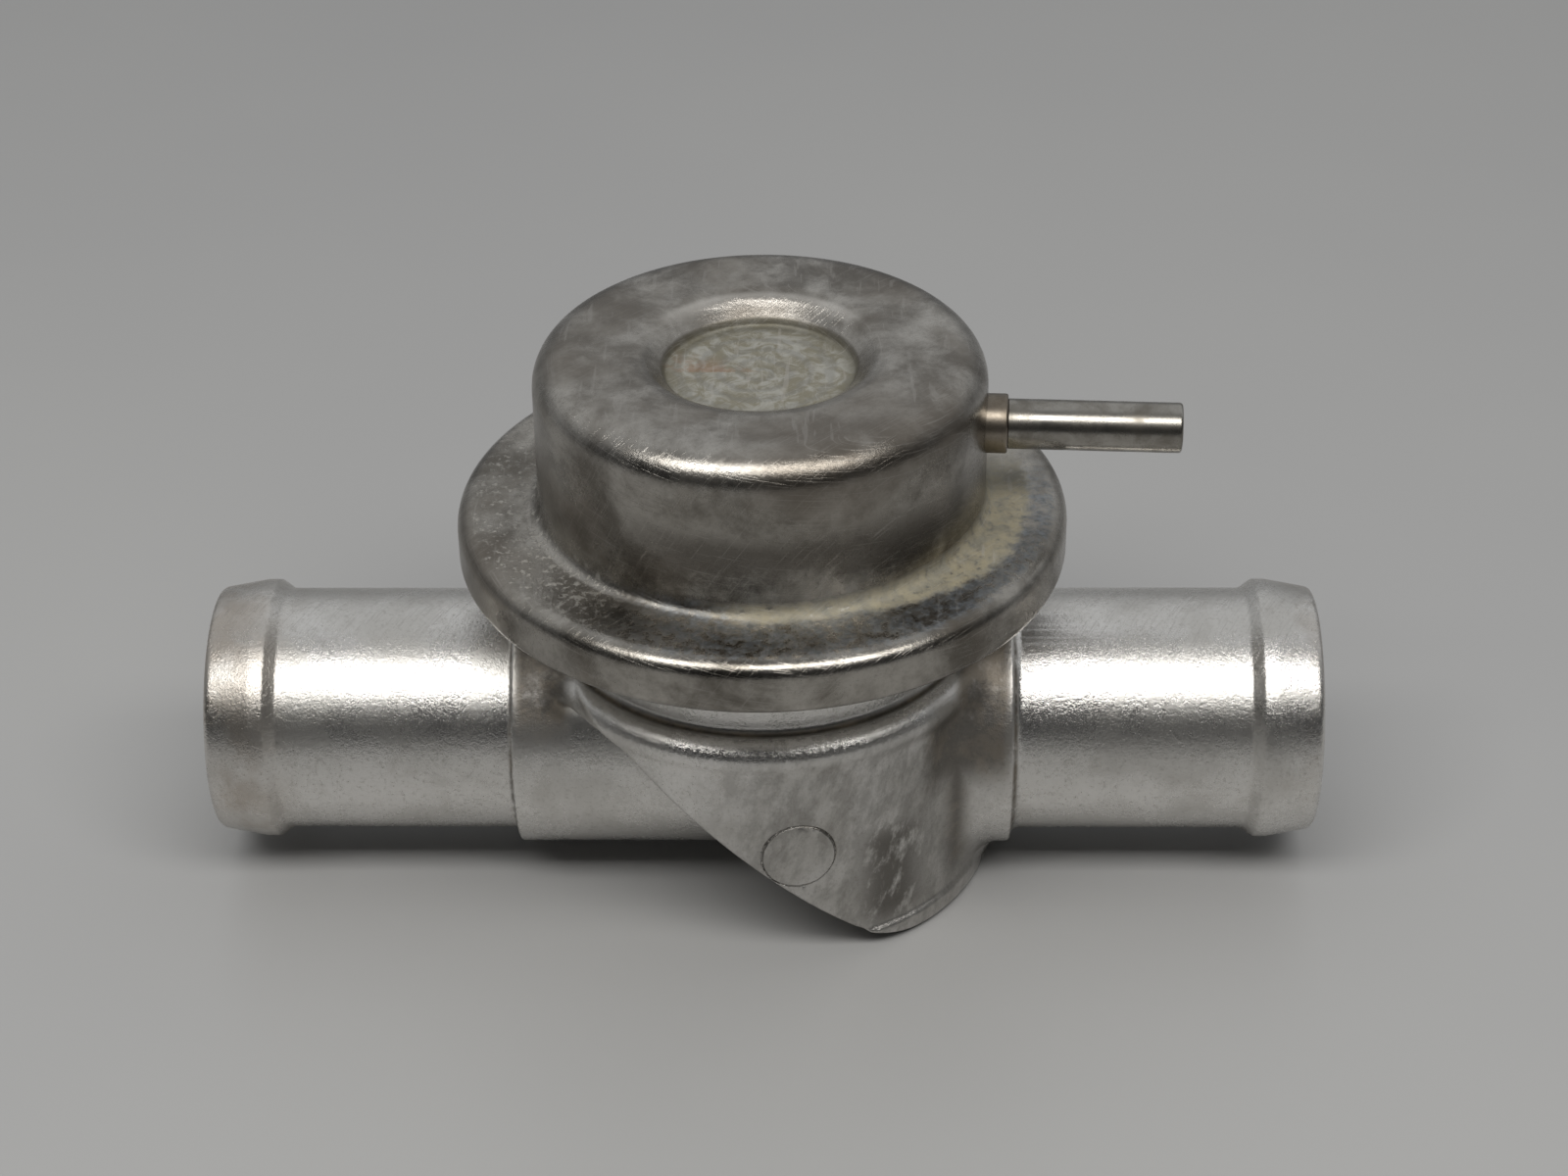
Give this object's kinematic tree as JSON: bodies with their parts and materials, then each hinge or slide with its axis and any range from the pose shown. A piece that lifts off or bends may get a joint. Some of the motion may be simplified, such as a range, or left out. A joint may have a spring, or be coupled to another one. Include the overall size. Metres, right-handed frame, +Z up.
{
  "type": "vacuum-operated shut-off valve",
  "caption": "In-line air shut-off valve with two beaded hose stubs, a round vacuum can crimped to a cast housing, and a side nipple.",
  "frame": {"origin": "on the vacuum can's axis, at the level of the housing's flat bottom", "axes": "+X along the hose stubs towards the outlet, +Y away from the viewer across the valve, +Z up along the can's axis"},
  "size_m": [0.1134, 0.0612, 0.0582],
  "materials": {
    "cast_aluminium": "satin die-cast aluminium, bright and slightly grainy, with smudges and scratches",
    "can_steel": "drawn steel, warm grey, smudged, with white and yellowish corrosion on the rim",
    "nipple_steel": "turned steel tube, satin",
    "braze": "steel collar with a brown braze tint",
    "plated_steel": "pressed steel, zinc plated",
    "stem_steel": "ground stainless steel",
    "spring_steel": "drawn spring wire",
    "bronze": "sintered bronze",
    "diaphragm_rubber": "fabric-reinforced rubber, matt",
    "seal_rubber": "moulded rubber, matt",
    "gasket_fibre": "compressed fibre gasket"
  },
  "bodies": {
    "housing": {"valve_body": "cast_aluminium", "vacuum_can": "can_steel", "vacuum_nipple": "nipple_steel", "nipple_collar": "braze", "body_gasket": "gasket_fibre", "guide_plate": "plated_steel", "guide_bush": "bronze", "stem_seal": "seal_rubber", "seal_retainer": "plated_steel", "diaphragm": "diaphragm_rubber", "return_spring": "spring_steel"},
    "valve_group": {"diaphragm_plate": "plated_steel", "diaphragm_cup": "plated_steel", "stem_washer": "plated_steel", "stem_sleeve": "plated_steel", "valve_stem": "stem_steel", "valve_disc": "plated_steel", "valve_seal": "seal_rubber", "backing_washer": "plated_steel", "valve_clip": "spring_steel"}
  },
  "joints": [
    {"name": "valve_lift", "type": "slide", "parent": "housing", "child": "valve_group", "axis": [0, 0, 1], "range_m": [0, 0.005], "stiffness_N_per_m": 1500, "springref_m": -0.01, "deforming": ["return_spring", "diaphragm"]}
  ]
}
